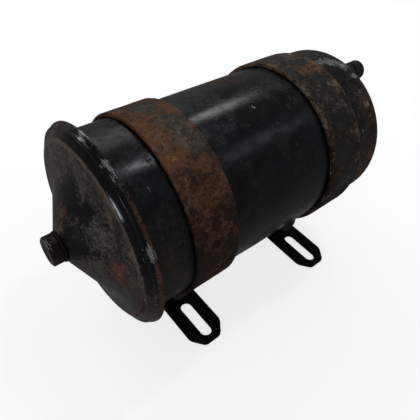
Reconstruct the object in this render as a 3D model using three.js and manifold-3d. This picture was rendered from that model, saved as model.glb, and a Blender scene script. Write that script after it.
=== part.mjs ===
// Oil filter canister with a bolted cone lid, held on its side by two strap clamps with slotted feet.
// Millimetres, +Z up. The canister's axis lies along X, its lid faces -X and its closed end +X.
// A station is a distance along the axis, measured from the front strap's front edge.
// The origin lies on the surface under the feet, midway between the bolt's head and the inlet plug's tip.
import * as THREE from 'three';
import { mergeVertices } from 'three/addons/utils/BufferGeometryUtils.js';
import Module from 'manifold-3d';

const wasm = await Module();
wasm.setup();

// ---- driving dimensions ----
const GAP = 0.3; // clearance between neighbouring pieces
const SHELL_SIDES = 48; // flat faces round the canister and its lid
const AXIS_HEIGHT = 87; // canister axis above the surface under the feet

const SHELL_RADIUS = 57;
const SHELL_WALL = 1.5;
const MOUTH = -26.8; // station of the canister flange's front face
const FLANGE_RADIUS = 61.4;
const FLANGE_LIP = 3.2;
const END_FLAT = 174; // station of the rear end where its dome starts
const END_FLAT_RADIUS = 46;
const END_SHOULDER = SHELL_RADIUS - END_FLAT_RADIUS;
const END_DOME = 3; // how far the rear end bulges

const LID_RADIUS = 63.5;
const LID_WALL = 1.6;
const LID_TIP = -50.3; // station of the lid's flat tip
const LID_TIP_RADIUS = 9.5;
const LID_EDGE = -24.5; // station where the lid's skirt ends
const LID_SEAT = -28.9; // station of the lid's inside face over the gasket

const BOLT_RADIUS = 5.4;
const BOLT_HEAD_FLATS = 16;
const BOLT_HEAD_FACE = -58.7; // station of the head's outer face
const BOLT_HEAD_HEIGHT = 6.7;
const BOLT_END = 3; // station of the bolt's inner end
const HEX_TURN = THREE.MathUtils.degToRad(53); // angle of a corner of the lid bolt's head from +Y

const STRAP_WIDTH = 29.7;
const STRAP_WALL = 2.7;
const STRAP_INNER_RADIUS = SHELL_RADIUS + GAP;
const STRAP_BEND = 5; // radius at the middle of the strap's wall, where a tail leaves the ring
const TAIL_OFFSET = 22.65; // distance of a tail's middle from the vertical plane through the axis
const TAIL_DEPTH = 81.5; // how far the tails hang below the axis
const STRAP_STATIONS = { front: 0, rear: 112.1 }; // station of each strap's front edge

const FOOT_WALL = 2.5;
const FOOT_WIDTH = 27.5;
const FOOT_SHIFT = 1.2; // the feet sit this much behind the strap's middle
const FOOT_REACH = 66.2; // distance of a foot's tip from the vertical plane through the axis
const FOOT_BEND = 2;
const FOOT_LEG_TOP = -60.5; // height of a foot's leg, measured from the axis
const FOOT_CHAMFER = { along: 9.4, across: 7.2 };
const SLOT_WIDTH = 8.5;
const SLOT_FROM = 34.9; // centres of a slot's round ends
const SLOT_TO = 57;

const CLAMP_DEPTH = 69; // clamp bolt's axis below the canister's
const CLAMP_BOLT_RADIUS = 3.9;
const CLAMP_HOLE_RADIUS = 4.4;
const CLAMP_FLATS = 13;
const CLAMP_HEAD_HEIGHT = 5.3;
const CLAMP_NUT_HEIGHT = 6.5;
const CLAMP_END = 36; // distance of the clamp bolt's end from the vertical plane through the axis
const CLAMP_WASHER = { radius: 8, thickness: 1.6 };

const PIPE_RADIUS = 9;
const PIPE_BORE = 7.2;
const PIPE_TOP = -12; // station of the standpipe's open end
const PIPE_END = 183.6; // station of its rear end, outside the canister
const PIPE_HOLE_STATIONS = [30, 60, 90, 120, 150];
const PIPE_HOLE_RADIUS = 1.8;

const ELEMENT_TOP = 5.4; // station of the filter element's top cap
const ELEMENT_END = 166.5;
const ELEMENT_RADIUS = 51;
const CAP_WALL = 1.2;
const CAP_SKIRT = 6.5;
const CORE_RADIUS = 13.5;
const CORE_WALL = 1;

const PORT_RADIUS = 7.4;
const PORT_BORE = 5.2;
const PORT_END = 182.7; // station of the inlet boss's outer face
const PORT_OFFSET = { y: -5.7, z: 41.6 }; // inlet axis from the canister's axis
const PLUG_TIP = 194.6; // station of the inlet plug's tip

const SPRING_RADIUS = 13.2;
const SPRING_WIRE = 1.3;
const SPRING_TURNS = 6;

const CENTRE = (BOLT_HEAD_FACE + PLUG_TIP) / 2; // station above the origin

// ---- finishes ----
const finishes = {
  blackPaint: { color: 0x14161a, roughness: 0.35, metalness: 0.2 },
  dirtyLid: { color: 0x2b2622, roughness: 0.55, metalness: 0.2 },
  rustySteel: { color: 0x4b3023, roughness: 0.8, metalness: 0.3 },
  blackSteel: { color: 0x17171a, roughness: 0.6, metalness: 0.3 },
  plainSteel: { color: 0x8b8a86, roughness: 0.4, metalness: 0.9 },
  copper: { color: 0x9a5f3c, roughness: 0.45, metalness: 0.9 },
  rubber: { color: 0x1a1a1a, roughness: 0.9, metalness: 0 },
  cotton: { color: 0xb8a585, roughness: 0.95, metalness: 0 },
};

// ---- geometry helpers ----

// Keeps positions only, joins shared vertices, drops empty triangles and turns every face outwards.
function closed(geometry) {
  const bare = new THREE.BufferGeometry();
  bare.setAttribute('position', geometry.getAttribute('position').clone());
  bare.setIndex(geometry.getIndex());
  const joined = mergeVertices(bare, 1e-4);
  const place = joined.getAttribute('position');
  const corners = joined.getIndex().array;
  const kept = [];
  const [a, b, c] = [new THREE.Vector3(), new THREE.Vector3(), new THREE.Vector3()];
  let volume = 0;
  for (let i = 0; i < corners.length; i += 3) {
    const [p, q, r] = [corners[i], corners[i + 1], corners[i + 2]];
    if (p === q || q === r || r === p) continue;
    kept.push(p, q, r);
    a.fromBufferAttribute(place, p);
    b.fromBufferAttribute(place, q);
    c.fromBufferAttribute(place, r);
    volume += a.dot(b.cross(c));
  }
  joined.setIndex(volume < 0 ? kept.reverse() : kept);
  joined.computeVertexNormals();
  return joined;
}

// Turns [station, radius] points about the X axis. A ring's outline ends where it starts.
function turned(outline, sides) {
  const points = outline.map(([station, radius]) => new THREE.Vector2(radius, station));
  const geometry = new THREE.LatheGeometry(points, sides);
  geometry.rotateZ(-Math.PI / 2);
  return closed(geometry);
}

// A ring with a rectangular section.
function ring(from, to, innerRadius, outerRadius, sides = 24) {
  const outline = [
    [from, innerRadius],
    [from, outerRadius],
    [to, outerRadius],
    [to, innerRadius],
    [from, innerRadius],
  ];
  return turned(outline, sides);
}

// A round bar from one station to another.
function bar(from, to, radius, sides = 24) {
  const outline = [
    [from, 0],
    [from, radius],
    [to, radius],
    [to, 0],
  ];
  return turned(outline, sides);
}

// Points along an arc in an outline.
function arc(centreA, centreB, radius, fromDegrees, toDegrees, steps) {
  const points = [];
  for (let i = 0; i <= steps; i += 1) {
    const angle = THREE.MathUtils.degToRad(fromDegrees + ((toDegrees - fromDegrees) * i) / steps);
    points.push([centreA + radius * Math.cos(angle), centreB + radius * Math.sin(angle)]);
  }
  return points;
}

// Extrudes a [y, z] outline along X from one station to another.
function plate(outline, from, to) {
  const shape = new THREE.Shape(outline.map(([y, z]) => new THREE.Vector2(y, z)));
  const geometry = new THREE.ExtrudeGeometry(shape, { depth: to - from, bevelEnabled: false });
  const axes = new THREE.Matrix4().makeBasis(
    new THREE.Vector3(0, 1, 0),
    new THREE.Vector3(0, 0, 1),
    new THREE.Vector3(1, 0, 0),
  );
  geometry.applyMatrix4(axes);
  geometry.translate(from, 0, 0);
  return closed(geometry);
}

// A hexagonal prism along X.
function hexBar(from, to, flats, turn) {
  const corner = flats / Math.sqrt(3);
  const outline = [];
  for (let i = 0; i < 6; i += 1) {
    const angle = turn + (i * Math.PI) / 3;
    outline.push([corner * Math.cos(angle), corner * Math.sin(angle)]);
  }
  return plate(outline, from, to);
}

function toSolid(geometry) {
  const mesh = new wasm.Mesh({
    numProp: 3,
    vertProperties: new Float32Array(geometry.getAttribute('position').array),
    triVerts: new Uint32Array(geometry.getIndex().array),
  });
  return new wasm.Manifold(mesh);
}

function fromSolid(solid) {
  const mesh = solid.getMesh();
  const geometry = new THREE.BufferGeometry();
  geometry.setAttribute('position', new THREE.BufferAttribute(mesh.vertProperties, 3));
  geometry.setIndex(new THREE.BufferAttribute(mesh.triVerts, 1));
  return closed(geometry);
}

function cut(geometry, ...tools) {
  const solid = tools.reduce((left, tool) => left.subtract(toSolid(tool)), toSolid(geometry));
  return fromSolid(solid);
}

function join(geometry, ...others) {
  const solid = others.reduce((sum, other) => sum.add(toSolid(other)), toSolid(geometry));
  return fromSolid(solid);
}

// Lays a piece that was turned about X along +Y instead.
function alongY(geometry) {
  return geometry.rotateZ(Math.PI / 2);
}

// ---- the object's group: stations become X and the canister's axis gets its height ----
const object = new THREE.Group();
const assembly = new THREE.Group();
assembly.position.set(-CENTRE, 0, AXIS_HEIGHT);
object.add(assembly);

function add(name, geometry, finish, parent = assembly) {
  const mesh = new THREE.Mesh(geometry, new THREE.MeshStandardMaterial(finishes[finish]));
  mesh.name = name;
  parent.add(mesh);
  return mesh;
}

// ---- canister ----

// The canister's outside behind its flange, grown by a clearance.
function shellOutside(grow) {
  const shoulder = arc(END_FLAT - END_SHOULDER, END_FLAT_RADIUS, END_SHOULDER + grow, 90, 0, 6);
  const dome = [0.7, 0.35, 0].map((part) => [
    END_FLAT + grow + END_DOME * (1 - part * part),
    END_FLAT_RADIUS * part,
  ]);
  return [...shoulder, ...dome];
}

function canisterShell() {
  const flangeBack = MOUTH + SHELL_WALL;
  const innerRadius = SHELL_RADIUS - SHELL_WALL;
  const outside = [
    [MOUTH, innerRadius],
    [MOUTH, FLANGE_RADIUS],
    [MOUTH + FLANGE_LIP, FLANGE_RADIUS],
    [MOUTH + FLANGE_LIP, FLANGE_RADIUS - SHELL_WALL],
    [flangeBack, FLANGE_RADIUS - SHELL_WALL],
    [flangeBack, SHELL_RADIUS],
    ...shellOutside(0),
  ];
  const inside = shellOutside(-SHELL_WALL).reverse();
  const body = turned([...outside, ...inside, [MOUTH, innerRadius]], SHELL_SIDES);
  const pipeHole = bar(END_FLAT - 10, END_FLAT + 10, PIPE_RADIUS + GAP);
  const inletHole = bar(END_FLAT - 10, END_FLAT + 10, PORT_BORE, 16);
  inletHole.translate(0, PORT_OFFSET.y, PORT_OFFSET.z);
  return cut(body, pipeHole, inletHole);
}

function clearOfShell(geometry) {
  const outside = [[MOUTH, 0], [MOUTH, SHELL_RADIUS + GAP], ...shellOutside(GAP)];
  return cut(geometry, turned(outside, SHELL_SIDES));
}

add('canister_shell', canisterShell(), 'blackPaint');

const inletBoss = ring(END_FLAT - 6, PORT_END, PORT_BORE, PORT_RADIUS);
inletBoss.translate(0, PORT_OFFSET.y, PORT_OFFSET.z);
add('inlet_boss', clearOfShell(inletBoss), 'blackPaint');

const OUTLET_COLLAR_RADIUS = 14;
const outletCollar = ring(END_FLAT, PIPE_END - 3, PIPE_RADIUS + GAP, OUTLET_COLLAR_RADIUS);
add('outlet_collar', clearOfShell(outletCollar), 'blackPaint');

// ---- standpipe, with the threaded insert that takes the lid bolt ----
function standpipe() {
  const pipe = ring(PIPE_TOP, PIPE_END, PIPE_BORE, PIPE_RADIUS);
  const drills = PIPE_HOLE_STATIONS.map((station, i) => {
    const drill = bar(-2 * PIPE_RADIUS, 2 * PIPE_RADIUS, PIPE_HOLE_RADIUS, 10);
    drill.rotateZ(Math.PI / 2);
    drill.rotateX((i % 2) * (Math.PI / 2));
    drill.translate(station, 0, 0);
    return drill;
  });
  return cut(pipe, ...drills);
}

add('standpipe', standpipe(), 'plainSteel');

const INSERT_LENGTH = 18;
const insert = ring(PIPE_TOP, PIPE_TOP + INSERT_LENGTH, BOLT_RADIUS + GAP, PIPE_BORE - GAP);
add('standpipe_insert', insert, 'plainSteel');

// ---- filter element ----

// A pressed end cap: a flat ring with a skirt round its edge. Side is 1 where the skirt points to +X.
function endCap(face, side) {
  const outline = [
    [face, CORE_RADIUS],
    [face, ELEMENT_RADIUS],
    [face + side * CAP_SKIRT, ELEMENT_RADIUS],
    [face + side * CAP_SKIRT, ELEMENT_RADIUS - CAP_WALL],
    [face + side * CAP_WALL, ELEMENT_RADIUS - CAP_WALL],
    [face + side * CAP_WALL, CORE_RADIUS],
    [face, CORE_RADIUS],
  ];
  return turned(outline, 40);
}

const mediaFrom = ELEMENT_TOP + CAP_WALL + GAP;
const mediaTo = ELEMENT_END - CAP_WALL - GAP;
const sealOuter = CORE_RADIUS - CORE_WALL - GAP;
const media = ring(mediaFrom, mediaTo, CORE_RADIUS + GAP, ELEMENT_RADIUS - CAP_WALL - GAP, 40);
const core = ring(mediaFrom, mediaTo, CORE_RADIUS - CORE_WALL, CORE_RADIUS);
const topSeal = ring(ELEMENT_TOP, ELEMENT_TOP + CAP_SKIRT, PIPE_RADIUS + GAP, sealOuter);
const endSeal = ring(ELEMENT_END - CAP_SKIRT, ELEMENT_END, PIPE_RADIUS + GAP, sealOuter);
add('element_top_cap', endCap(ELEMENT_TOP, 1), 'plainSteel');
add('element_end_cap', endCap(ELEMENT_END, -1), 'plainSteel');
add('element_media', media, 'cotton');
add('element_core', core, 'plainSteel');
add('element_top_seal', topSeal, 'rubber');
add('element_end_seal', endSeal, 'rubber');

// A stamped ring that keeps the element off the canister's end.
const REST_RADIUS = 30;
const restOutline = [
  [ELEMENT_END + GAP, 16],
  [ELEMENT_END + GAP, REST_RADIUS],
  [END_FLAT - 1, REST_RADIUS],
  [END_FLAT - 1, REST_RADIUS - 1.5],
  [ELEMENT_END + GAP + 1.5, REST_RADIUS - 1.5],
  [ELEMENT_END + GAP + 1.5, 16],
  [ELEMENT_END + GAP, 16],
];
add('element_rest', turned(restOutline, 32), 'plainSteel');

// ---- lid ----
const CONE_BASE = [-36.4, 36.6];

function lidCover() {
  const outside = [
    [LID_TIP, BOLT_RADIUS + 0.6],
    [LID_TIP, LID_TIP_RADIUS],
    CONE_BASE,
    [-34.9, 38.4],
    [-34.3, 41],
    [-33.8, 46],
    [-32.7, 51],
    ...arc(-26.4, LID_RADIUS - 3.9, 3.9, 164, 90, 5),
    [LID_EDGE, LID_RADIUS],
  ];
  const inside = [
    [LID_EDGE, LID_RADIUS - 1.5],
    [LID_SEAT + 0.5, LID_RADIUS - 1.5],
    [LID_SEAT, LID_RADIUS - 2],
    [LID_SEAT, 51],
    [-31.8, 47],
    [-33.1, 39.6],
    [CONE_BASE[0] + 1.4, CONE_BASE[1] - 0.7],
    [LID_TIP + LID_WALL, LID_TIP_RADIUS - 0.4],
    [LID_TIP + LID_WALL, BOLT_RADIUS + 0.6],
    [LID_TIP, BOLT_RADIUS + 0.6],
  ];
  return turned([...outside, ...inside], SHELL_SIDES);
}

add('lid_cover', lidCover(), 'dirtyLid');
add('lid_gasket', ring(LID_SEAT + GAP, MOUTH - GAP, 56, FLANGE_RADIUS - 0.4, 48), 'rubber');

// ---- lid bolt, its washer and the clip that keeps it in the lid ----
const headBack = BOLT_HEAD_FACE + BOLT_HEAD_HEIGHT;
const CLIP_STATION = -33;
const CLIP_THICKNESS = 1.2;
const shankOutline = [
  [headBack - 1, 0],
  [headBack - 1, BOLT_RADIUS],
  [CLIP_STATION - GAP, BOLT_RADIUS],
  [CLIP_STATION - GAP, BOLT_RADIUS - 0.8],
  [CLIP_STATION + CLIP_THICKNESS + GAP, BOLT_RADIUS - 0.8],
  [CLIP_STATION + CLIP_THICKNESS + GAP, BOLT_RADIUS],
  [BOLT_END - 1.5, BOLT_RADIUS],
  [BOLT_END, BOLT_RADIUS - 1.5],
  [BOLT_END, 0],
];
const head = hexBar(BOLT_HEAD_FACE, headBack, BOLT_HEAD_FLATS, HEX_TURN);
add('lid_bolt', join(head, turned(shankOutline, 24)), 'blackSteel');
const clip = ring(CLIP_STATION, CLIP_STATION + CLIP_THICKNESS, BOLT_RADIUS - 0.5, 8);
add('lid_bolt_clip', clip, 'plainSteel');
const boltWasher = ring(headBack + GAP, LID_TIP - GAP, BOLT_RADIUS + GAP, LID_TIP_RADIUS);
add('lid_bolt_washer', boltWasher, 'copper');

// ---- spring between the lid and the element ----
const SPRING_TOP_SEAT = -43.4;
const SPRING_SEAT_WALL = 1.2;
const SPRING_SEAT_RADIUS = 17;
const cupFrom = ELEMENT_TOP - GAP - SPRING_SEAT_WALL;

function pressureSpring() {
  const from = SPRING_TOP_SEAT + SPRING_SEAT_WALL + GAP + SPRING_WIRE;
  const to = cupFrom - GAP - SPRING_WIRE;
  const stepsPerTurn = 12;
  const points = [];
  for (let i = 0; i <= SPRING_TURNS * stepsPerTurn; i += 1) {
    const angle = (2 * Math.PI * i) / stepsPerTurn;
    const along = from + ((to - from) * i) / (SPRING_TURNS * stepsPerTurn);
    points.push(new THREE.Vector3(along, SPRING_RADIUS * Math.cos(angle), SPRING_RADIUS * Math.sin(angle)));
  }
  const wire = new THREE.Shape(
    arc(0, 0, SPRING_WIRE, 0, 288, 4).map(([x, y]) => new THREE.Vector2(x, y)),
  );
  const path = new THREE.CatmullRomCurve3(points);
  const steps = SPRING_TURNS * stepsPerTurn;
  return closed(new THREE.ExtrudeGeometry(wire, { extrudePath: path, steps, bevelEnabled: false }));
}

const springSeat = ring(SPRING_TOP_SEAT, SPRING_TOP_SEAT + SPRING_SEAT_WALL, 8.8, SPRING_SEAT_RADIUS);
add('spring_seat', springSeat, 'plainSteel');
add('pressure_spring', pressureSpring(), 'plainSteel');
const springCup = ring(cupFrom, cupFrom + SPRING_SEAT_WALL, PIPE_RADIUS + 0.6, SPRING_SEAT_RADIUS);
add('spring_cup', springCup, 'plainSteel');

// ---- port plugs, each with a copper washer ----
function plug(seat, bore, knobRadius, tip) {
  const neck = seat + 1.9; // the washer and its clearances
  const rounding = 3;
  const outline = [
    [seat - 8, 0],
    [seat - 8, bore - GAP - 0.6],
    [seat - 7.4, bore - GAP],
    [neck, bore - GAP],
    [neck, knobRadius - 0.7],
    [neck + 0.7, knobRadius],
    ...arc(tip - rounding, knobRadius - rounding, rounding, 90, 15, 4),
    [tip, 0],
  ];
  return turned(outline, 24);
}

function addPort(name, seat, bore, knobRadius, tip, offset) {
  const port = new THREE.Group();
  port.position.set(0, offset.y, offset.z);
  assembly.add(port);
  add(`${name}_washer`, ring(seat + GAP, seat + 1.6, bore + 0.2, knobRadius - 1), 'copper', port);
  add(`${name}_plug`, plug(seat, bore, knobRadius, tip), 'blackSteel', port);
}

addPort('inlet', PORT_END, PORT_BORE, 7.2, PLUG_TIP, PORT_OFFSET);
addPort('outlet', PIPE_END, PIPE_BORE, 9.6, PIPE_END + 11, { y: 0, z: 0 });

// ---- strap clamps ----

// A ring of strap with two tails that hang from its underside.
function strapOutline() {
  const middle = STRAP_INNER_RADIUS + STRAP_WALL / 2;
  const bendY = TAIL_OFFSET + STRAP_BEND;
  const bendZ = -Math.sqrt((middle + STRAP_BEND) ** 2 - bendY ** 2);
  const lean = THREE.MathUtils.radToDeg(Math.atan2(-bendZ, bendY)); // angle of the bend below +Y
  const face = (half, ringSteps) => [
    [TAIL_OFFSET + half, -TAIL_DEPTH],
    ...arc(bendY, bendZ, STRAP_BEND - half, 180, 180 - lean, 5),
    ...arc(0, 0, middle + half, -lean, 180 + lean, ringSteps),
    ...arc(-bendY, bendZ, STRAP_BEND - half, lean, 0, 5),
    [-TAIL_OFFSET - half, -TAIL_DEPTH],
  ];
  return [...face(STRAP_WALL / 2, 54), ...face(-STRAP_WALL / 2, 54).reverse()];
}

// The clamp bolt's hole, straight across both tails and both foot legs.
function clampDrill(station) {
  const drill = alongY(bar(-CLAMP_END, CLAMP_END, CLAMP_HOLE_RADIUS, 20));
  drill.translate(station, 0, -CLAMP_DEPTH);
  return drill;
}

// An L-shaped foot. Side is -1 for the near one and 1 for the far one.
function foot(station, side) {
  const legOuter = TAIL_OFFSET - STRAP_WALL / 2 - GAP;
  const bendY = legOuter + FOOT_BEND;
  const top = FOOT_WALL - AXIS_HEIGHT;
  const bendZ = top + FOOT_BEND;
  const outline = [
    [legOuter - FOOT_WALL, FOOT_LEG_TOP],
    [legOuter, FOOT_LEG_TOP],
    ...arc(bendY, bendZ, FOOT_BEND, 180, 270, 4),
    [FOOT_REACH, top],
    [FOOT_REACH, -AXIS_HEIGHT],
    ...arc(bendY, bendZ, FOOT_BEND + FOOT_WALL, 270, 180, 4),
  ].map(([y, z]) => [side * y, z]);
  const half = FOOT_WIDTH / 2;
  const bracket = plate(outline, station - half, station + half);
  const boltHole = clampDrill(station - FOOT_SHIFT);
  return cut(bracket, boltHole, slotCutter(station, side), ...cornerCutters(station, side));
}

function flatCutter(points) {
  const shape = new THREE.Shape(points.map(([x, y]) => new THREE.Vector2(x, y)));
  const geometry = new THREE.ExtrudeGeometry(shape, { depth: 3 * FOOT_WALL, bevelEnabled: false });
  geometry.translate(0, 0, -AXIS_HEIGHT - FOOT_WALL);
  return closed(geometry);
}

function slotCutter(station, side) {
  const farEnd = arc(station, side * SLOT_TO, SLOT_WIDTH / 2, 0, side * 180, 8);
  const nearEnd = arc(station, side * SLOT_FROM, SLOT_WIDTH / 2, side * 180, side * 360, 8);
  return flatCutter([...farEnd, ...nearEnd]);
}

function cornerCutters(station, side) {
  const { along, across } = FOOT_CHAMFER;
  return [-1, 1].map((end) => {
    const edge = station + (end * FOOT_WIDTH) / 2;
    return flatCutter([
      [edge + end, side * (FOOT_REACH - along)],
      [edge, side * (FOOT_REACH - along)],
      [edge - end * across, side * FOOT_REACH],
      [edge - end * across, side * (FOOT_REACH + 1)],
      [edge + end, side * (FOOT_REACH + 1)],
    ]);
  });
}

function addClamp(name, start) {
  const middle = start + STRAP_WIDTH / 2;
  const strap = plate(strapOutline(), start, start + STRAP_WIDTH);
  add(`${name}_strap`, cut(strap, clampDrill(middle)), 'rustySteel');
  add(`${name}_foot_near`, foot(middle + FOOT_SHIFT, -1), 'blackSteel');
  add(`${name}_foot_far`, foot(middle + FOOT_SHIFT, 1), 'blackSteel');

  const fastener = new THREE.Group();
  fastener.position.set(middle, 0, -CLAMP_DEPTH);
  assembly.add(fastener);
  const tailFace = TAIL_OFFSET + STRAP_WALL / 2;
  const washerFrom = tailFace + GAP;
  const washerTo = washerFrom + CLAMP_WASHER.thickness;
  const grip = washerTo + GAP; // where the head and the nut bear
  const washer = () => alongY(ring(washerFrom, washerTo, CLAMP_HOLE_RADIUS, CLAMP_WASHER.radius));
  const boltHead = hexBar(-grip - CLAMP_HEAD_HEIGHT, -grip, CLAMP_FLATS, Math.PI / 6);
  const shank = bar(-grip - 1, CLAMP_END, CLAMP_BOLT_RADIUS, 20);
  const nutBlank = hexBar(grip, grip + CLAMP_NUT_HEIGHT, CLAMP_FLATS, Math.PI / 6);
  const nutBore = bar(grip - 1, grip + CLAMP_NUT_HEIGHT + 1, CLAMP_BOLT_RADIUS + GAP, 20);
  add(`${name}_clamp_bolt`, alongY(join(boltHead, shank)), 'rustySteel', fastener);
  add(`${name}_clamp_head_washer`, washer().rotateZ(Math.PI), 'rustySteel', fastener);
  add(`${name}_clamp_nut_washer`, washer(), 'rustySteel', fastener);
  add(`${name}_clamp_nut`, alongY(cut(nutBlank, nutBore)), 'rustySteel', fastener);
}

for (const [name, start] of Object.entries(STRAP_STATIONS)) {
  addClamp(name, start);
}

export default object;
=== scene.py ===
"""Looks of a strap-mounted oil filter canister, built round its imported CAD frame.

Objects are in metres and outlines in millimetres. A station is a place along the canister's axis, measured
from the front strap's front edge towards the closed end. A radius or a depth is measured from that axis.
An angle round the axis is in degrees, from the top towards the near side (-Y).
"""

from math import atan2, ceil, cos, degrees, dist, hypot, pi, radians, sin, sqrt, tan

import bmesh
import bpy
from mathutils import Matrix, Vector, noise


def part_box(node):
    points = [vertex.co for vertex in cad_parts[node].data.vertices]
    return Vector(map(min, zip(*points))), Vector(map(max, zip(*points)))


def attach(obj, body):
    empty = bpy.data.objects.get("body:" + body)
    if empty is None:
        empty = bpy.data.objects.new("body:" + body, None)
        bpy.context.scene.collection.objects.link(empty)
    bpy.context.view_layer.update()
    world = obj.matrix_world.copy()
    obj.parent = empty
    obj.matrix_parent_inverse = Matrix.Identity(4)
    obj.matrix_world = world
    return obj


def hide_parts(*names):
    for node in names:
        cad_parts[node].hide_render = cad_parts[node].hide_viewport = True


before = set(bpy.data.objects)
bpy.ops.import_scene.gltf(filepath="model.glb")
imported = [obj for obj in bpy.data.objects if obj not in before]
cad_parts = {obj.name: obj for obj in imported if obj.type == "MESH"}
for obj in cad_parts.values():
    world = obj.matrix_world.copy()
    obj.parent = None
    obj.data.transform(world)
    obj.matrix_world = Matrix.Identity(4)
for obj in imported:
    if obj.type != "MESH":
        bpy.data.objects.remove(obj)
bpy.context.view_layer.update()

MM = 0.001


# ---- places and sizes taken from the frame ----
STATION_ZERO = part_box("front_strap")[0].x
AXIS_HEIGHT = sum(corner.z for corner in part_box("canister_shell")) / 2


def span(node, axis, zero=0.0):
    """Where a CAD node starts and ends along an axis, in millimetres from zero."""
    return [(corner[axis] - zero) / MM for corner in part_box(node)]


def stations(node):
    """The stations where a CAD node starts and ends."""
    return span(node, 0, STATION_ZERO)


def half_width(node):
    """Half of a CAD node's size across, which is its radius if it was turned."""
    low, high = span(node, 1)
    return (high - low) / 2


def middle(node):
    """The middle of a CAD node as (station, y, z), with z measured from the axis."""
    return [sum(span(node, axis, zero)) / 2 for axis, zero in enumerate((STATION_ZERO, 0.0, AXIS_HEIGHT))]


MOUTH, SHELL_TAIL = stations("canister_shell")
FLANGE_RADIUS = half_width("canister_shell")
FLANGE_WIDTH = 4.4
FLANGE_DEPTH = 3.2
SHELL_RADIUS = FLANGE_RADIUS - FLANGE_WIDTH
SHELL_WALL = 1.5
END_DOME = 3
END_FLAT = SHELL_TAIL - END_DOME
END_SHOULDER = 11

LID_TIP, LID_EDGE = stations("lid_cover")
LID_RADIUS = half_width("lid_cover")
LID_CREST_RADIUS = 54
LID_WALL = 1.5

STRAP_WIDTH = stations("front_strap")[1]
STRAP_OUTER = half_width("front_strap")
STRAP_WALL = 2.7
STRAP_BEND = 5
TAIL_OFFSET = 22.65
TAIL_DEPTH = -span("front_strap", 2, AXIS_HEIGHT)[0]
CLAMP_DEPTH = -middle("front_clamp_nut")[2]
CLAMP_HOLE = 4.4
CLAMP_FLATS = 13
LID_BOLT_FLATS = 16

FOOT_WALL = 2.5
FOOT_BEND = 2
GAP = 0.3

INLET_AT = middle("inlet_plug")[1:]
INLET_BORE = 5.2
HOLE_REACH = 12

BOLT_PITCH = 1.27
PLUG_PITCH = 1.411
CLAMP_PITCH = 1.25

SHARP_ANGLE = 38
LONGEST_SETBACK = 0.49


# ---- outlines ----
def arc(centre_a, centre_b, radius, start, stop, steps):
    """Points along an arc, with its angles in degrees."""
    points = []
    for i in range(steps + 1):
        angle = radians(start + (stop - start) * i / steps)
        points.append((centre_a + radius * cos(angle), centre_b + radius * sin(angle)))
    return points


def softened(corners, steps=5):
    """A closed outline with rounded corners, each (a, b, setback). A setback of 0 keeps a corner sharp."""
    points = []
    for i, (a, b, setback) in enumerate(corners):
        if not setback:
            points.append((a, b))
            continue
        here = Vector((a, b))
        before = Vector(corners[i - 1][:2]) - here
        after = Vector(corners[(i + 1) % len(corners)][:2]) - here
        start = here + before.normalized() * min(setback, before.length * LONGEST_SETBACK)
        end = here + after.normalized() * min(setback, after.length * LONGEST_SETBACK)
        for k in range(steps + 1):
            t = k / steps
            points.append(tuple(start * (1 - t) ** 2 + here * 2 * t * (1 - t) + end * t**2))
    return points


def finely(points, longest):
    """A closed outline with its long stretches split."""
    fine = []
    for i, point in enumerate(points):
        following = points[(i + 1) % len(points)]
        parts = max(1, ceil(dist(point, following) / longest))
        for k in range(parts):
            t = k / parts
            fine.append(tuple(p + (q - p) * t for p, q in zip(point, following)))
    return fine


def block(start, stop, inner, outer, setback=0.4):
    """The outline of a ring, or of a bar where inner is 0, with softened outer edges."""
    inside = setback if inner else 0
    corners = [(start, inner, inside), (start, outer, setback), (stop, outer, setback), (stop, inner, inside)]
    return softened(corners, 3)


def bar(start, stop, radius):
    """The outline of a plain cutter."""
    return block(start, stop, 0, radius, 0)


# ---- meshes ----
def place(station, y, z):
    """A point in the row frame, from a station and from millimetres off the axis."""
    return Vector((STATION_ZERO + station * MM, y * MM, AXIS_HEIGHT + z * MM))


def round_place(station, radius, angle):
    """A point in the row frame, from a station, a radius and an angle from the top."""
    turn = radians(angle)
    return place(station, -radius * sin(turn), radius * cos(turn))


def added(name, data):
    """A new object in the scene."""
    obj = bpy.data.objects.new(name, data)
    bpy.context.scene.collection.objects.link(obj)
    return obj


def made(name, vertices, faces):
    """A new object of these points and faces, with doubles joined and its faces turned outwards."""
    mesh = bpy.data.meshes.new(name)
    mesh.from_pydata([tuple(v) for v in vertices], [], faces)
    tidy(mesh)
    return added(name, mesh)


def tidy(mesh):
    """Joins doubled points, drops loose edges and turns the faces outwards."""
    work = bmesh.new()
    work.from_mesh(mesh)
    bmesh.ops.remove_doubles(work, verts=work.verts, dist=1e-6)
    loose = [edge for edge in work.edges if not edge.link_faces]
    bmesh.ops.delete(work, geom=loose, context="EDGES")
    bmesh.ops.recalc_face_normals(work, faces=work.faces)
    work.to_mesh(mesh)
    work.free()


def faces_between(rows, sides, first=0, closed=False):
    """Faces that join neighbouring rows of points, where each row is a loop of that many points."""
    faces = []
    for row in range(rows if closed else rows - 1):
        a, b = first + row * sides, first + (row + 1) % rows * sides
        for side in range(sides):
            beside = (side + 1) % sides
            faces.append((a + side, a + beside, b + beside, b + side))
    return faces


def end_faces(rows, sides):
    """Faces that cap the first row and the last."""
    return [tuple(range(sides)), tuple(range((rows - 1) * sides, rows * sides))]


def turned(name, outline, sides, y=0.0, z=0.0):
    """Turns a closed outline of (station, radius) points about an axis along X."""
    vertices = []
    for station, radius in outline:
        for side in range(sides):
            angle = 2 * pi * side / sides
            vertices.append(place(station, y + radius * sin(angle), z + radius * cos(angle)))
    return made(name, vertices, faces_between(len(outline), sides, closed=True))


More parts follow.
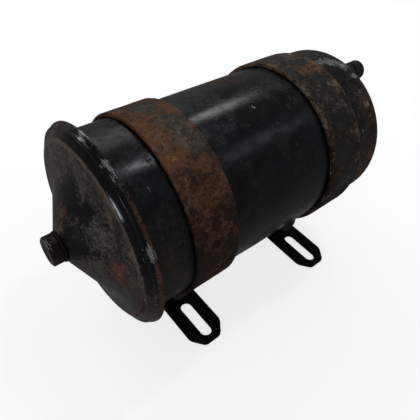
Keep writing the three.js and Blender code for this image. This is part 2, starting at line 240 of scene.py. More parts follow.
def swept(name, path, section, station):
    """Sweeps a closed section of (along X, outwards) points down a path of (y, z) points, and caps it."""
    rows, sides = len(path), len(section)
    vertices = []
    for i, (y, z) in enumerate(path):
        along = (Vector(path[min(i + 1, rows - 1)]) - Vector(path[max(i - 1, 0)])).normalized()
        for across, out in section:
            vertices.append(place(station + across, y - along.y * out, z + along.x * out))
    return made(name, vertices, faces_between(rows, sides) + end_faces(rows, sides))


def prism(name, outline, low, high, spot_at):
    """Extrudes a closed outline of (a, b) points, where spot_at(a, b, c) is a point's place."""
    vertices = [spot_at(a, b, c) for c in (low, high) for a, b in outline]
    sides = len(outline)
    return made(name, vertices, end_faces(2, sides) + faces_between(2, sides))


def baked(obj):
    """Replaces an object's mesh by what its modifiers make of it."""
    graph = bpy.context.evaluated_depsgraph_get()
    mesh = bpy.data.meshes.new_from_object(obj.evaluated_get(graph))
    obj.modifiers.clear()
    obj.data = mesh


def carved(obj, cutters, operation="DIFFERENCE"):
    """Cuts an object by each cutter in turn, or keeps what they share."""
    for cutter in cutters:
        modifier = obj.modifiers.new("carve", "BOOLEAN")
        modifier.operation = operation
        modifier.solver = "EXACT"
        modifier.object = cutter
        baked(obj)
        bpy.data.objects.remove(cutter)


def eased(obj, width, angle=40):
    """Rounds an object's sharp edges by a bevel."""
    modifier = obj.modifiers.new("ease", "BEVEL")
    modifier.width = width * MM
    modifier.segments = 2
    modifier.limit_method = "ANGLE"
    modifier.angle_limit = radians(angle)
    baked(obj)


def turn_to_y(obj, station, z):
    """Lays an object that was turned about the canister's axis along +Y instead, through (station, z)."""
    for vertex in obj.data.vertices:
        x, y, height = vertex.co.x - STATION_ZERO, vertex.co.y, vertex.co.z - AXIS_HEIGHT
        vertex.co = Vector((STATION_ZERO + station * MM - y, x, AXIS_HEIGHT + z * MM + height))
    return obj


def unevened(obj, height, size, seed):
    """Moves each point along its normal by a smooth noise of that height and feature size, in millimetres."""
    offset = Vector((seed, seed * 1.7, -seed))
    normals = [normal.vector.copy() for normal in obj.data.vertex_normals]
    for vertex, normal in zip(obj.data.vertices, normals):
        amount = noise.fractal(vertex.co / (size * MM) + offset, 1.0, 2.0, 3)
        vertex.co += normal * amount * height * MM


def dented(obj, centre, size, depth):
    """Pushes a soft dent towards the axis. Centre is a point in the row frame."""
    for vertex in obj.data.vertices:
        share = spot(vertex.co, centre, size)
        if share:
            inwards = Vector((0, -vertex.co.y, AXIS_HEIGHT - vertex.co.z)).normalized()
            vertex.co += inwards * depth * MM * share


def smooth(obj):
    """Shades an object smoothly, except at its sharp edges."""
    obj.data.polygons.foreach_set("use_smooth", [True] * len(obj.data.polygons))
    obj.data.set_sharp_from_angle(angle=radians(SHARP_ANGLE))


# ---- wear marks, which the finishes break up into patches ----
def spot(point, centre, size):
    """1 at the centre, falling smoothly to 0 at size millimetres from it."""
    share = max(0.0, 1 - (point - centre).length / (size * MM))
    return share * share * (3 - 2 * share)


def spots(point, places):
    """The sum of soft spots, each (station, radius, angle, size, amount)."""
    return sum(amount * spot(point, round_place(*at), size) for *at, size, amount in places)


def band(value, low, high, soft):
    """1 between low and high, fading to 0 over soft on both sides."""
    rise = min(1.0, max(0.0, (value - low) / soft + 1))
    fall = min(1.0, max(0.0, (high - value) / soft + 1))
    return rise * fall


def marked(obj, rule):
    """Stores rule's (rust, dirt, bare metal, orange rust) for each point of an object."""
    layer = obj.data.color_attributes.new("marks", "FLOAT_COLOR", "POINT")
    for vertex, value in zip(obj.data.vertices, layer.data):
        point = vertex.co
        y, z = point.y / MM, (point.z - AXIS_HEIGHT) / MM
        station, radius = (point.x - STATION_ZERO) / MM, hypot(y, z)
        value.color = rule(station, radius, degrees(atan2(-y, z)), point)


def evenly(rust, dirt, bare, orange=0.2):
    """A rule that marks the whole of a piece alike."""
    return lambda station, radius, angle, point: (rust, dirt, bare, orange)


# ---- finishes ----
class Finish:
    """One material's nodes. Sizes of its patterns are in millimetres."""

    def __init__(self, name):
        self.material = bpy.data.materials.new(name)
        self.material.use_nodes = True
        self.nodes = self.material.node_tree.nodes
        self.links = self.material.node_tree.links
        self.shader = self.nodes["Principled BSDF"]
        position = self.nodes.new("ShaderNodeTexCoord").outputs["Object"]
        axis = self.vector("SUBTRACT", position, (0.0, 0.0, AXIS_HEIGHT))
        self.place = self.scaled(axis, 1 / MM)

    def feed(self, socket, value):
        """Links a socket to another node's output, or sets it to a constant."""
        if isinstance(value, bpy.types.NodeSocket):
            self.links.new(value, socket)
        else:
            socket.default_value = value

    def add(self, kind, inputs, **settings):
        """A new node with these settings and inputs."""
        node = self.nodes.new(kind)
        for name, value in settings.items():
            setattr(node, name, value)
        for key, value in inputs.items():
            self.feed(node.inputs[key], value)
        return node

    def set(self, **values):
        """Sets the shader's sockets, named with _ for a space."""
        for name, value in values.items():
            self.feed(self.shader.inputs[name.replace("_", " ")], value)

    def vector(self, operation, a, b):
        return self.add("ShaderNodeVectorMath", {0: a, 1: b}, operation=operation).outputs["Vector"]

    def scaled(self, vector, scale):
        inputs = {0: vector, "Scale": scale}
        return self.add("ShaderNodeVectorMath", inputs, operation="SCALE").outputs["Vector"]

    def maths(self, operation, a, b):
        return self.add("ShaderNodeMath", {0: a, 1: b}, operation=operation).outputs[0]

    def times(self, a, b):
        return self.maths("MULTIPLY", a, b)

    def plus(self, a, b):
        return self.maths("ADD", a, b)

    def noise(self, size, detail, rough, seed, stretch=(1.0, 1.0, 1.0), place=None):
        """A noise from 0 to 1, with features of that size, stretched along X, Y and Z."""
        scale = tuple(1 / (size * s) for s in stretch)
        sized = self.vector("MULTIPLY", place or self.place, scale)
        moved = self.vector("ADD", sized, (seed * 13.1, seed * 7.7, seed * 3.3))
        inputs = {"Vector": moved, "Scale": 1.0, "Detail": detail, "Roughness": rough}
        return self.add("ShaderNodeTexNoise", inputs).outputs[0]

    def rings(self, wander):
        """Coordinates that change fast along X and the radius, and slowly round the axis."""
        parts = self.add("ShaderNodeSeparateXYZ", {0: self.place})
        flat = self.vector("MULTIPLY", self.place, (0.0, 1.0, 1.0))
        radius = self.add("ShaderNodeVectorMath", {0: flat}, operation="LENGTH").outputs["Value"]
        joined = self.add("ShaderNodeCombineXYZ", {0: parts.outputs[0], 1: radius}).outputs[0]
        return self.vector("ADD", joined, self.scaled(self.place, wander))

    def above(self, value, low, high):
        """0 below low and 1 above high, smoothly."""
        inputs = {"Value": value, "From Min": low, "From Max": high}
        return self.add("ShaderNodeMapRange", inputs, interpolation_type="SMOOTHSTEP").outputs[0]

    def between(self, value, low, high):
        """low where the value is 0 and high where it is 1."""
        return self.add("ShaderNodeMapRange", {"Value": value, "To Min": low, "To Max": high}).outputs[0]

    def blend(self, mask, below, over):
        """The colour below where the mask is 0, and the colour over where it is 1."""
        node = self.add("ShaderNodeMix", {"Factor": mask}, data_type="RGBA")
        for key, colour in ((6, below), (7, over)):
            self.feed(node.inputs[key], (*colour, 1.0) if isinstance(colour, tuple) else colour)
        return node.outputs[2]

    def marks(self):
        """The stored rust, dirt, bare metal and orange rust."""
        stored = self.add("ShaderNodeAttribute", {}, attribute_name="marks")
        parts = self.add("ShaderNodeSeparateColor", {0: stored.outputs["Color"]})
        return (*parts.outputs[:3], stored.outputs["Alpha"])

    def patches(self, amount, noises, low, high):
        """Where a mark shows: its amount, broken up by noises that each come with a weight."""
        level = amount
        for source, weight in noises:
            level = self.plus(level, self.times(self.maths("SUBTRACT", source, 0.5), weight))
        return self.above(level, low, high)

    def bump(self, height, depth, below=None):
        """Bumps of that depth in millimetres, over any bumps below."""
        inputs = {"Height": height, "Strength": 1.0, "Distance": depth * MM}
        if below:
            inputs["Normal"] = below
        return self.add("ShaderNodeBump", inputs).outputs[0]


def shade(colour, factor):
    """A colour made darker or lighter."""
    return tuple(c * factor for c in colour)


# Colours are linear. A pair is a patch's dark and light colours.
DIRT = ((0.017, 0.014, 0.012), (0.052, 0.041, 0.031))
RUST = ((0.034, 0.017, 0.012), (0.180, 0.096, 0.058))
LID_DIRT = ((0.026, 0.018, 0.014), (0.200, 0.155, 0.115))
STRAP_DIRT = ((0.045, 0.032, 0.025), (0.240, 0.180, 0.130))
REAR_DIRT = ((0.024, 0.019, 0.017), (0.250, 0.195, 0.145))
LID_RED = ((0.034, 0.014, 0.010), (0.165, 0.078, 0.056))
STRAP_RED = ((0.040, 0.020, 0.014), (0.240, 0.112, 0.066))
BOLT_RED = ((0.018, 0.009, 0.008), (0.075, 0.034, 0.025))
DULL_RUST = ((0.024, 0.015, 0.012), (0.300, 0.190, 0.118))
ORANGE_RUST = (0.640, 0.290, 0.085)
BARE_STEEL = (0.62, 0.62, 0.63)
PIT_BLACK = (0.006, 0.004, 0.004)
OIL_BLACK = (0.008, 0.006, 0.005)
ROUGHEST = 0.92


def aged_metal(name, paint, gloss, seed, dirt=DIRT, rust=RUST, specular=0.35):
    """Painted steel under dirt, rust and scratches, in the amounts that each piece's marks give."""
    f = Finish(name)
    rust_mark, dirt_mark, bare_mark, orange_mark = f.marks()
    broad = f.noise(30, 3, 0.5, seed)
    coarse = f.noise(9, 5, 0.62, seed + 1)
    medium = f.noise(2.9, 5, 0.68, seed + 2)
    fine = f.noise(1.1, 4, 0.7, seed + 3)
    specks = f.noise(0.62, 2, 0.5, seed + 4)
    streaks = f.noise(1.05, 3, 0.6, seed + 5, place=f.rings(0.07))

    # Where each layer shows.
    dirty = f.patches(dirt_mark, ((coarse, 0.7), (medium, 0.9), (fine, 0.9)), 0.28, 0.78)
    rusty = f.patches(rust_mark, ((coarse, 0.6), (medium, 1.0), (fine, 0.9)), 0.36, 0.66)
    worn = f.patches(bare_mark, ((streaks, 1.9), (coarse, 0.9), (fine, 0.5)), 0.50, 0.62)
    flecks = f.patches(orange_mark, ((medium, 1.9), (fine, 1.5), (specks, 0.6)), 0.62, 0.78)
    caked = f.maths("MAXIMUM", rusty, dirty)
    pits = f.times(f.above(specks, 0.54, 0.72), caked)
    oily = f.above(broad, 0.48, 0.70)

    # The colours, from the paint up to the scratches.
    blotches = f.times(f.plus(medium, f.plus(fine, coarse)), 1 / 3)
    coat = f.blend(f.above(blotches, 0.42, 0.6), shade(paint, 0.6), shade(paint, 1.7))
    dust = f.blend(f.above(f.plus(blotches, f.times(dirt_mark, 0.12)), 0.51, 0.66), *dirt)
    dull = f.blend(f.above(f.plus(blotches, f.times(orange_mark, 0.5)), 0.48, 0.67), *rust)
    colour = f.blend(f.times(dirty, 0.9), coat, dust)
    colour = f.blend(rusty, colour, dull)
    for mask, strength, over in ((flecks, 0.8, ORANGE_RUST), (pits, 0.6, PIT_BLACK), (oily, 0.4, OIL_BLACK)):
        colour = f.blend(f.times(mask, strength), colour, over)
    colour = f.blend(worn, colour, f.blend(fine, shade(BARE_STEEL, 0.5), BARE_STEEL))

    rough = f.between(f.above(coarse, 0.36, 0.68), gloss * 0.85, gloss * 1.7)
    for mask, more in ((f.above(fine, 0.4, 0.75), gloss * 0.4), (dirty, 0.30), (rusty, 0.40), (flecks, 0.2)):
        rough = f.plus(rough, f.times(mask, more))
    rough = f.maths("MINIMUM", rough, ROUGHEST)

    # Each bump is a height and its depth in millimetres.
    bumps = [(broad, 0.25), (fine, 0.035), (specks, 0.012), (f.times(medium, caked), 0.16)]
    bumps += [(f.times(f.plus(fine, specks), rusty), 0.14), (f.maths("SUBTRACT", 1.0, worn), 0.05)]
    normal = None
    for height, depth in bumps:
        normal = f.bump(height, depth, normal)
    f.set(Base_Color=colour, Roughness=rough, Metallic=f.times(worn, 0.8), Normal=normal)
    f.set(Specular_IOR_Level=specular)
    return f.material


def plain_metal(name, colour, gloss, seed, tarnish=(0.06, 0.04, 0.03), share=0.5):
    """Bare metal with turning marks, oil stains and tarnish."""
    f = Finish(name)
    cloud = f.noise(7, 5, 0.6, seed)
    fine = f.noise(0.8, 4, 0.6, seed + 1)
    lines = f.noise(0.5, 3, 0.6, seed + 2, place=f.rings(0.02))
    stain = f.times(f.above(cloud, 0.42, 0.66), share)
    clean = f.blend(lines, shade(colour, 0.8), colour)
    f.set(Base_Color=f.blend(stain, clean, tarnish), Metallic=f.between(stain, 1.0, 0.5))
    f.set(Roughness=f.between(f.times(f.plus(cloud, fine), 0.5), gloss, gloss + 0.3))
    f.set(Normal=f.bump(f.plus(lines, fine), 0.02))
    return f.material


def rubber(name, colour, seed):
    """Dull rubber, greyed in places."""
    f = Finish(name)
    cloud = f.noise(6, 4, 0.6, seed)
    grain = f.noise(0.6, 3, 0.6, seed + 1)
    f.set(Base_Color=f.blend(cloud, colour, shade(colour, 2.2)), Roughness=f.between(cloud, 0.55, 0.8))
    f.set(Normal=f.bump(grain, 0.04), Specular_IOR_Level=0.4)
    return f.material


def cotton(name):
    """Wound yarn, soaked unevenly in old oil."""
    f = Finish(name)
    cloud = f.noise(22, 5, 0.6, 61)
    fibre = f.noise(0.45, 4, 0.7, 62, (1.0, 3.0, 3.0))
    clean = f.blend(fibre, (0.34, 0.26, 0.16), (0.50, 0.41, 0.28))
    oiled = f.blend(fibre, (0.045, 0.030, 0.016), (0.12, 0.08, 0.045))
    f.set(Base_Color=f.blend(f.above(cloud, 0.36, 0.62), clean, oiled), Roughness=f.between(cloud, 0.9, 0.6))
    f.set(Normal=f.bump(fibre, 0.25))
    return f.material


CANISTER_PAINT = aged_metal("canister_paint", (0.0052, 0.0058, 0.0086), 0.17, 10, specular=0.36)
LID_PAINT = aged_metal("lid_paint", (0.0050, 0.0052, 0.0068), 0.11, 20, LID_DIRT, LID_RED, 0.28)
STRAP_RUST = aged_metal("strap_rust", (0.080, 0.073, 0.070), 0.42, 30, STRAP_DIRT, STRAP_RED, 0.3)
REAR_RUST = aged_metal("strap_rust_rear", (0.030, 0.027, 0.027), 0.42, 36, REAR_DIRT, DULL_RUST, 0.3)
FOOT_PAINT = aged_metal("foot_paint", (0.0045, 0.0042, 0.0044), 0.5, 40, specular=0.2)
BOLT_STEEL = aged_metal("bolt_steel", (0.012, 0.008, 0.008), 0.36, 50, rust=BOLT_RED, specular=0.45)
PLUG_PAINT = aged_metal("plug_paint", (0.0075, 0.0075, 0.0080), 0.30, 70, specular=0.45)
OLD_COPPER = aged_metal("old_copper", (0.026, 0.013, 0.010), 0.45, 76, rust=BOLT_RED, specular=0.3)
CLEAN_STEEL = plain_metal("clean_steel", (0.46, 0.45, 0.43), 0.25, 80)
COPPER = plain_metal("copper", (0.40, 0.18, 0.10), 0.32, 90, tarnish=(0.05, 0.025, 0.02), share=0.9)
SEAL_RUBBER = rubber("seal_rubber", (0.008, 0.008, 0.008), 95)
YARN = cotton("yarn")


def finished(obj, material, body, slot, node, rule=None):
    """Gives a piece its finish and its body, and hides the CAD node that it stands for. The record's slot is
    not used.
    """
    obj.data.materials.clear()
    obj.data.materials.append(material)
    smooth(obj)
    if rule:
        marked(obj, rule)
    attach(obj, body)
    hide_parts(node)
    return obj


# ---- canister ----
def shell_outside(grow):
    """The canister's outside behind its flange, grown by a clearance, from the shoulder to the axis."""
    flat = SHELL_RADIUS - END_SHOULDER
    shoulder = arc(END_FLAT - END_SHOULDER, flat, END_SHOULDER + grow, 90, 4, 14)
    steps = 12
    dome = []
    for i in range(steps + 1):
        share = 1 - i / steps
        dome.append((END_FLAT + grow + END_DOME * (1 - share * share), flat * share))
    return shoulder + dome


def on_shell(*places):
    """Spots on the canister's side, from (station, angle, size, amount)."""
    return [(station, SHELL_RADIUS, *rest) for station, *rest in places]


CHIPS = on_shell(
    (72, 15, 2.4, 0.95), (75, 17, 1.6, 0.9), (71, 25, 1.9, 0.7), (81, 30, 2.6, 0.95),
    (49, 30, 1.6, 0.7), (30.6, 34, 2.0, 0.9), (33, 38, 1.6, 0.8), (86, 46, 1.8, 0.7),
    (60, 62, 1.8, 0.7), (152, 0, 10, 0.66), (158, 5, 9, 0.72), (162, 12, 7, 0.72),
    (164, 22, 5, 0.72), (157, 34, 4, 0.70), (160, 44, 5, 0.66), (160, 52, 4, 0.66),
    (150, 60, 5, 0.50),
)
SIDE_RUST = on_shell((78, -22, 24, 0.56), (60, -30, 18, 0.42), (104, -16, 14, 0.40))
END_RUST = ((161, 58, 44, 24, 0.44), (167, 52, 84, 34, 0.30))
END_WEAR_FROM = 143
DENTS = ((66, 58, 26, 0.5), (92, 22, 17, 0.35), (40, 130, 22, 0.7), (150, 70, 18, 0.5))


def canister_marks(station, radius, angle, point):
    """Mottled dust, rust on top and at the closed end, chips, and a worn flange."""
    rust = 0.06 + 0.16 * band(angle, 100, 180, 40) + spots(point, SIDE_RUST)
    dirt = 0.10 + 0.16 * band(angle, 60, 180, 30) + 0.28 * band(angle, -90, -18, 16)
    dirt += 0.50 * max(noise.noise(point / (19 * MM)), 0) + 0.25 * noise.noise(point / (6 * MM))
    dirt += band(station, MOUTH, 0, 1.5) * (0.06 + 0.24 * band(angle, 66, 130, 26))
    bare = spots(point, CHIPS)
    orange = 0.4 * max(rust - 0.2, 0)
    if station > END_WEAR_FROM:
        dirt += 0.20 * band(station, 150, 200, 14)
        rust += 0.24 * band(station, 156, 200, 12) + spots(point, END_RUST)
        orange += 0.16 * band(angle, 30, 120, 20)
        bare += 0.12 * band(station, 160.5, 165.5, 2.5)
    edge = band(radius, FLANGE_RADIUS - 1, FLANGE_RADIUS + 1, 0.8) * band(station, MOUTH - 1, MOUTH + 4, 0.6)
    bare += 0.30 * edge
    rust += 0.34 * edge * (1 + band(angle, 50, 110, 20))
    return rust, max(dirt, 0.0), bare, orange


def make_canister():
    inner = SHELL_RADIUS - SHELL_WALL
    lip, lip_inner = MOUTH + FLANGE_DEPTH, FLANGE_RADIUS - SHELL_WALL
    back = MOUTH + SHELL_WALL
    down_the_wall = 20
    front = [(MOUTH, inner, 0.5), (MOUTH, FLANGE_RADIUS, 0.9), (lip, FLANGE_RADIUS, 0.6)]
    front += [(lip, lip_inner, 0.5), (back, lip_inner, 0.6), (back, SHELL_RADIUS, 1.2)]
    front.append((down_the_wall, SHELL_RADIUS, 0))
    outline = softened(front) + shell_outside(0) + shell_outside(-SHELL_WALL)[::-1]
    outline.append((END_FLAT - END_SHOULDER, inner))
    shell = turned("canister", finely(outline, 3.5), 224)
    unevened(shell, 0.10, 38, 3)
    for station, angle, size, depth in DENTS:
        dented(shell, round_place(station, SHELL_RADIUS, angle), size, depth)
    low, high = END_FLAT - HOLE_REACH, END_FLAT + HOLE_REACH
    pipe_hole = turned("pipe_hole", bar(low, high, half_width("standpipe") + GAP), 64)
    inlet_hole = turned("inlet_hole", bar(low, high, INLET_BORE), 48, *INLET_AT)
    carved(shell, [pipe_hole, inlet_hole])
    finished(shell, CANISTER_PAINT, "housing", "black_paint", "canister_shell", canister_marks)


make_canister()


# ---- lid ----
def lid_rim(station, radius):
    """The lid's rolled rim from the crest to its widest place. It turns slowly away from the lid's face."""
    steps, length = 14, 9.3
    first_tilt, more_tilt = 19, 29
    points = []
    for step in range(steps):
        tilt = radians(first_tilt + more_tilt * sqrt(step / steps))
        station += length / steps * sin(tilt)
        radius += length / steps * cos(tilt)
        points.append((station, radius))
    left = LID_RADIUS - radius
    return points + [(station + left * 0.9, LID_RADIUS - left * 0.2), (station + left * 1.7, LID_RADIUS)]


BLACK_PATCHES = (
    (-40.0, 30, -6, 16, 0.66), (-41.5, 26, -40, 13, 0.66), (-46.0, 18, 42, 15, 0.66),
    (-50.0, 11, 62, 12, 0.66), (-39.0, 33, 24, 11, 0.66), (-35.0, 42, 120, 13, 0.66),
    (-37.5, 36, 160, 15, 0.66), (-42.0, 25, -120, 16, 0.66),
)
LID_RUST = (
    (-45.4, 19, -22, 13, 0.48), (-44.0, 22, -2, 8, 0.32), (-36.5, 37, 88, 17, 0.50),
    (-36.0, 38, 72, 10, 0.36), (-33.5, 50, 44, 9, 0.30), (-33.0, 52, 100, 14, 0.36),
    (-37.0, 36, -150, 18, 0.44),
)
RIM_SCRATCHES = [(-25.8, LID_RADIUS, angle, size, 0.54) for angle, size in ((-4, 9), (19, 12), (60, 10))]


def lid_marks(station, radius, angle, point):
    """A dusty face with black and rusty patches, a pale crest, and a rim that is scratched and rusty."""
    face = band(radius, 0, LID_CREST_RADIUS - 0.5, 1.5)
    crest = band(radius, LID_CREST_RADIUS + 0.4, LID_CREST_RADIUS + 1.8, 0.9) * band(station, -40, -30.5, 1.0)
    shoulder = band(radius, LID_CREST_RADIUS + 2.6, 80, 1.2)
    skirt = band(station, -26.4, -20, 0.9) * shoulder
    dirt = 0.62 * face + 1.5 * crest + 0.10 * shoulder - spots(point, BLACK_PATCHES) + 0.34 * skirt
    dirt += shoulder * (0.42 * band(angle, 84, 150, 18) + 0.40 * band(angle, -180, -22, 14))
    rust = 0.14 * face + 0.18 * crest + spots(point, LID_RUST)
    orange = 0.14 * face + 0.55 * max(rust - 0.22, 0) + 0.24 * skirt
    rust += 0.30 * crest * band(angle, 60, 140, 30)
    rust += skirt * (0.62 * band(angle, 36, 120, 14) + 0.34 * band(angle, -180, -20, 20))
    rust += 0.20 * band(radius, LID_RADIUS - 2.5, 80, 1.0) * band(angle, -180, -26, 10)
    bare = 0.24 * crest + spots(point, RIM_SCRATCHES) + 0.14 * band(station, -27.4, -20, 1.2) * shoulder
    return rust, max(dirt, 0.0), bare, orange


def make_lid():
    bore, tip_radius = 6.0, 9.5
    base, base_radius = -36.4, 36.6
    seat = -28.9
    tip_inside = LID_TIP + 1.6
    crest = LID_CREST_RADIUS + 1.2
    inner = LID_RADIUS - LID_WALL
    outside = [(LID_TIP, bore, 0.3), (LID_TIP, tip_radius, 1.2), (base, base_radius, 4.2), (-34.3, 42.0, 3.0)]
    outside += [(-33.2, 48.5, 2.0), (-32.2, 53.2, 1.2), (-32.3, crest, 0.6)]
    rim = [(a, b, 0) for a, b in lid_rim(-32.1, crest + 0.2)]
    hem = [(LID_EDGE, LID_RADIUS, 0.5), (LID_EDGE, inner, 0.5), (seat, inner, 0.8), (seat, 51, 1.0)]
    hem += [(-31.8, 47, 2.0), (-33.1, 39.6, 2.0), (base + 1.4, base_radius - 0.7, 3.0)]
    hem += [(tip_inside, tip_radius - 0.4, 1.0), (tip_inside, bore, 0.3)]
    lid = turned("lid", finely(softened(outside + rim + hem), 1.5), 256)
    unevened(lid, 0.16, 24, 7)
    finished(lid, LID_PAINT, "lid", "lid_paint", "lid_cover", lid_marks)


make_lid()


# ---- straps ----
def strap_path():
    """The middle of a strap's wall, as (y, z) from the near tail's end round to the far one."""
    ring = STRAP_OUTER - STRAP_WALL / 2
    bend_y = TAIL_OFFSET + STRAP_BEND
    bend_z = -sqrt((ring + STRAP_BEND) ** 2 - bend_y**2)
    lean = degrees(atan2(-bend_z, bend_y))
    tail = [(TAIL_OFFSET, -TAIL_DEPTH + i * (TAIL_DEPTH + bend_z) / 10) for i in range(10)]
    bend = arc(bend_y, bend_z, STRAP_BEND, 180, 180 - lean, 8)
    half = tail + bend + arc(0, 0, ring, -lean, 90, 84)[1:]
    near = [(-y, z) for y, z in half]
    return near + list(reversed(half))[1:]


def strap_section():
    """A strap's section with rolled edges, as (along X, outwards)."""
    half, wall = STRAP_WIDTH / 2, STRAP_WALL / 2
    edge = 0.9
    corners = [(-half, -wall, edge), (half, -wall, edge), (half, wall, edge), (-half, wall, edge)]
    return finely(softened(corners, 4), 2.2)


def strap_marks(start, grey_places, orange_places, rust_level, dirt_level):
    """Rust at the edges and low down, with grey and orange spots that are each (across, angle, size). Low
    down the strap is also painted darker as painted shade, and on top it is painted lighter as painted light.
    """
    grey_spots, orange_spots = (
        [(start + across, STRAP_OUTER, angle, size, 1.0) for across, angle, size in places]
        for places in (grey_places, orange_places)
    )

    def rule(station, radius, angle, point):
        # Low down there is more rust and less dust, partly real rust and partly painted shade. On top there
        # is more dust, orange and bare flecks, partly real dust and wear and partly painted light.
        rust_and_shade_low = band(angle, 78, 180, 40)
        top = band(angle, -60, 14, 30)
        edge = 1 - band(station - start, 1.6, STRAP_WIDTH - 1.6, 1.4)
        grey, warm = spots(point, grey_spots), spots(point, orange_spots)
        rust = rust_level + 0.26 * rust_and_shade_low + 0.34 * edge + 0.16 * noise.noise(point / (10 * MM))
        rust += 0.18 * band(angle, 36, 70, 14) + 0.26 * warm - 0.42 * grey
        dirt = dirt_level + 0.20 * top + 0.3 * noise.noise(point / (7 * MM)) - 0.40 * rust_and_shade_low
        orange = 0.10 * top + 0.16 * (1 - rust_and_shade_low) + 0.10 * noise.noise(point / (6 * MM))
        orange += 0.22 * warm - 0.12 * grey
        bare = 0.16 * edge * band(angle, 0, 110, 20) + 0.07 + 0.10 * top
        return rust, dirt, bare, orange

    return rule


def make_strap(end, material, marks, seed):
    start = stations(f"{end}_strap")[0]
    centre = start + STRAP_WIDTH / 2
    strap = swept(f"{end}_band", strap_path(), strap_section(), centre)
    hole = turned("hole", bar(-40, 40, CLAMP_HOLE), 40)
    carved(strap, [turn_to_y(hole, centre, -CLAMP_DEPTH)])
    unevened(strap, 0.13, 7, seed)
    finished(strap, material, "housing", "rusty_strap", f"{end}_strap", strap_marks(start, *marks))


FRONT_MARKS = (
    ((19, 8, 13), (23, 20, 13), (16, -14, 9)),
    ((5, 10, 10), (3, 1, 9), (14, 7, 7), (24, -2, 5), (8, 26, 9), (3, 24, 8)), 0.50, 0.54,
)
REAR_MARKS = (
    ((8, 24, 16), (16, 44, 18), (12, 64, 18), (20, 84, 16)),
    ((24, 9, 12), (27, 3, 9), (14, 4, 10), (5, -4, 10), (10, 9, 7)), 0.30, 0.34,
)
make_strap("front", STRAP_RUST, FRONT_MARKS, 11)
make_strap("rear", REAR_RUST, REAR_MARKS, 17)


# ---- feet ----
AXIS_TO_GROUND = AXIS_HEIGHT / MM
FOOT_FACE = TAIL_OFFSET - STRAP_WALL / 2 - GAP
FOOT_LEG = AXIS_TO_GROUND - FOOT_WALL - FOOT_BEND + span("front_foot_near", 2, AXIS_HEIGHT)[1]
FOOT_TURN = (FOOT_BEND + FOOT_WALL / 2) * pi / 2
FOOT_SOLE = FOOT_LEG + FOOT_TURN
FOOT_REACH = 43.2
FOOT_LENGTH = FOOT_SOLE + FOOT_REACH
SLOT_WIDTH = 8.5
SLOT_FROM, SLOT_TO = FOOT_SOLE + 11.9, FOOT_SOLE + 34


def foot_place(along, depth):
    """Where a point of a foot's flat plate lies once the plate is bent, as (y, z)."""
    turn = min(max(along - FOOT_LEG, 0) / (FOOT_BEND + FOOT_WALL / 2), pi / 2)
    past = max(along - FOOT_SOLE, 0)
    short = max(FOOT_LEG - along, 0)
    y = FOOT_FACE + FOOT_BEND - (FOOT_BEND + depth) * cos(turn) + past
    z = FOOT_WALL + FOOT_BEND - AXIS_TO_GROUND - (FOOT_BEND + depth) * sin(turn) + short
    return y, z


def foot_marks(station, radius, angle, point):
    """Dirt on the upright leg, and a little rust and wear near the tip."""
    up = band(point.z / MM, 0, 12, 8)
    tip = band(abs(point.y) / MM, 60, 80, 4)
    return 0.12 + 0.16 * tip, 0.16 + 0.10 * up, 0.05 + 0.10 * tip, 0.0


def make_foot(end, side):
    start, stop = stations(f"{end}_foot_{side}")
    centre, half = (start + stop) / 2, (stop - start) / 2
    hole_x = middle(f"{end}_strap")[0] - centre
    hole_along = 8.5
    tip_x, tip_along = half - 7.2, FOOT_LENGTH - 9.4
    corners = [(-half, 0, 2.0), (half, 0, 2.0), (half, tip_along, 2.5), (tip_x, FOOT_LENGTH, 2.5)]
    corners += [(-tip_x, FOOT_LENGTH, 2.5), (-half, tip_along, 2.5)]

    def flat(a, b, c):
        return Vector((a, b, c)) * MM

    foot = prism(f"{end}_{side}_foot", softened(corners), 0, FOOT_WALL, flat)
    slot_end = SLOT_WIDTH / 2
    slot = arc(0, SLOT_TO, slot_end, 0, 180, 16) + arc(0, SLOT_FROM, slot_end, 180, 360, 16)
    hole = arc(hole_x, hole_along, CLAMP_HOLE, 0, 345, 23)
    carved(foot, [prism("cutter", outline, -1, FOOT_WALL + 1, flat) for outline in (slot, hole)])
    eased(foot, 0.38)

    # The plate is cut into strips, so that it bends smoothly.
    cuts_along = [FOOT_LEG + FOOT_TURN * k / 8 for k in range(9)] + [4 * k for k in range(1, 18)]
    cuts_across = (-9, -4.5, 0, 4.5, 9)
    work = bmesh.new()
    work.from_mesh(foot.data)
    for normal, cuts in ((Vector((0, 1, 0)), cuts_along), (Vector((1, 0, 0)), cuts_across)):
        for cut in cuts:
            everything = [*work.verts, *work.edges, *work.faces]
            bmesh.ops.bisect_plane(work, geom=everything, plane_co=normal * (cut * MM), plane_no=normal)
    way = 1 if side == "far" else -1
    for vertex in work.verts:
        a, b, c = vertex.co / MM
        y, z = foot_place(b, c)
        vertex.co = place(centre + a, way * y, z)
    bmesh.ops.recalc_face_normals(work, faces=work.faces)
    work.to_mesh(foot.data)
    work.free()
    finished(foot, FOOT_PAINT, "housing", "black_bracket", f"{end}_foot_{side}", foot_marks)


for strap_end in ("front", "rear"):
    for foot_side in ("near", "far"):
        make_foot(strap_end, foot_side)


# ---- bolts and nuts ----
def hexagon(flats, turn):
    return arc(0, 0, flats / sqrt(3), turn, turn + 300, 5)


def hex_piece(name, start, stop, flats, turn, chamfer_stop=False):
    """A hexagon along X with its corners chamfered at its start, or at both ends."""
    piece = prism(name, hexagon(flats, turn), start, stop, lambda a, b, c: place(c, a, b))
    corner = flats / sqrt(3) + 0.2
    face = flats * 0.475
    depth = (corner - face) * tan(radians(30))
    outline = [(start, 0), (start, face), (start + depth, corner)]
    outline += [(stop - depth, corner), (stop, face)] if chamfer_stop else [(stop, corner)]
    carved(piece, [turned("chamfer", outline + [(stop, 0)], 96)], "INTERSECT")
    return piece


